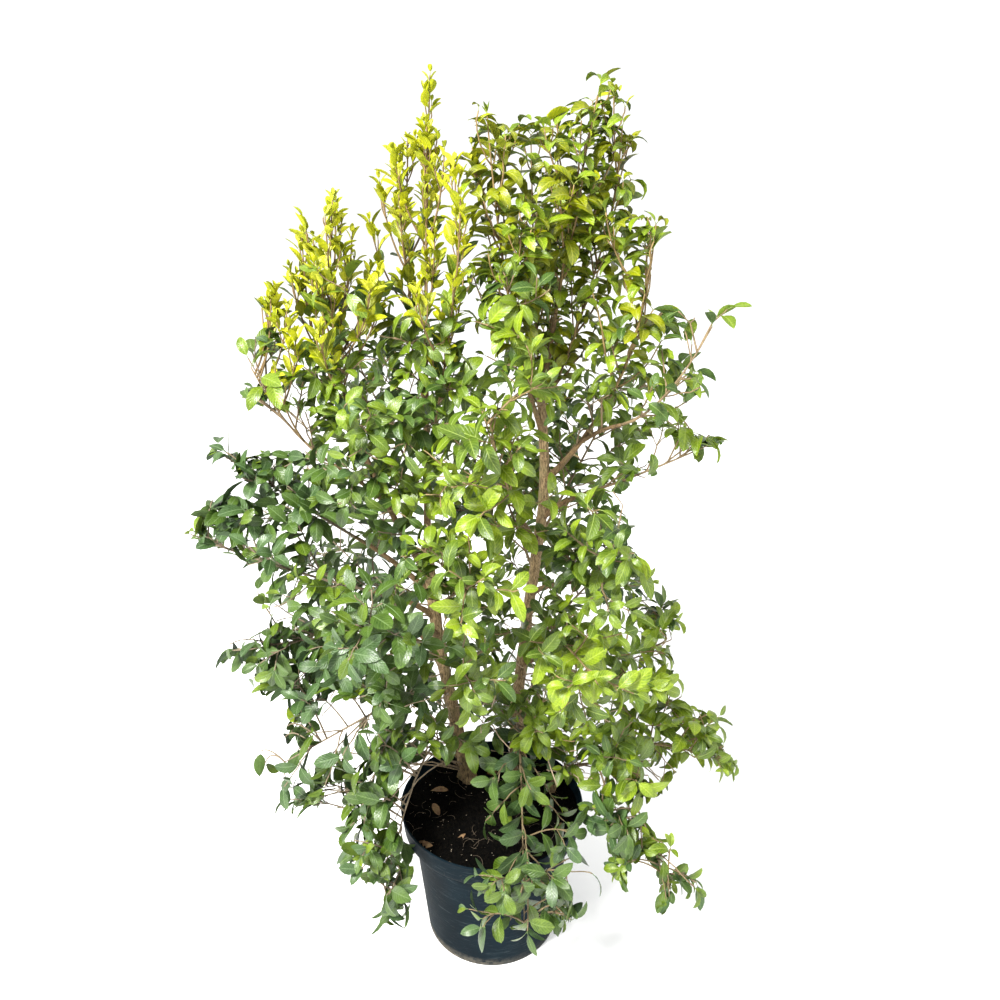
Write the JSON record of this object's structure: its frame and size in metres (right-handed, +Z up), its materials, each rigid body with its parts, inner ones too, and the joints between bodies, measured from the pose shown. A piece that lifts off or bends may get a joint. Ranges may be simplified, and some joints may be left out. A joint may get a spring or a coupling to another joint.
{
  "type": "potted eugenia",
  "caption": "Evergreen shrub with leaning trunks, spreading boughs and upright glossy foliage, growing in a tapered plastic nursery pot.",
  "frame": {"origin": "centre of the pot's flat underside", "axes": "+Z up along the pot's axis, -Y towards the viewer of the picture, +X to that viewer's right"},
  "size_m": [0.8801, 0.6033, 1.3594],
  "materials": {
    "pot": "satin, scuffed",
    "soil": "matte, crumbly",
    "bark": "matte, finely ridged",
    "young_bark": "matte, smooth",
    "young_leaves": "glossy",
    "bright_leaves": "glossy",
    "middle_leaves": "glossy",
    "olive_leaves": "glossy",
    "dark_leaves": "glossy"
  },
  "bodies": {
    "root": {"pot": "pot", "soil": "soil", "left_trunk": "bark", "right_trunk": "bark", "third_stem": "bark", "left_leader": "young_bark", "left_high_bough": "young_bark", "left_outer_bough": "young_bark", "left_tier_bough": "young_bark", "left_reach_bough": "young_bark", "left_mid_bough": "young_bark", "left_low_bough": "young_bark", "left_drop_bough": "young_bark", "left_front_bough": "young_bark", "left_back_bough": "young_bark", "right_leader": "young_bark", "right_inner_bough": "young_bark", "right_crown_back_bough": "young_bark", "right_high_bough": "young_bark", "right_arch_bough": "young_bark", "right_shoulder_bough": "young_bark", "right_mid_bough": "young_bark", "right_low_bough": "young_bark", "right_back_bough": "young_bark", "centre_bough": "young_bark", "right_reach_bough": "young_bark", "left_spire": "young_leaves", "left_inner_spires": "young_leaves", "left_front_spires": "young_leaves", "left_fan": "young_leaves", "left_outer_spires": "young_leaves", "left_tier": "middle_leaves", "left_reach": "dark_leaves", "left_mid": "dark_leaves", "left_low": "dark_leaves", "left_drop": "dark_leaves", "left_foot": "dark_leaves", "left_front": "middle_leaves", "left_back": "dark_leaves", "left_back_high": "middle_leaves", "right_spire": "olive_leaves", "right_inner": "olive_leaves", "right_crown": "olive_leaves", "right_crown_back": "olive_leaves", "right_flank": "olive_leaves", "right_high": "olive_leaves", "right_arch": "middle_leaves", "right_shoulder": "middle_leaves", "right_mid": "middle_leaves", "right_low": "middle_leaves", "right_front": "bright_leaves", "right_back": "dark_leaves", "right_back_high": "middle_leaves", "centre": "bright_leaves", "centre_mid": "bright_leaves", "centre_low": "middle_leaves", "centre_back": "middle_leaves", "right_reach": "bright_leaves", "right_drop": "middle_leaves", "front_drop": "bright_leaves"}
  },
  "joints": []
}
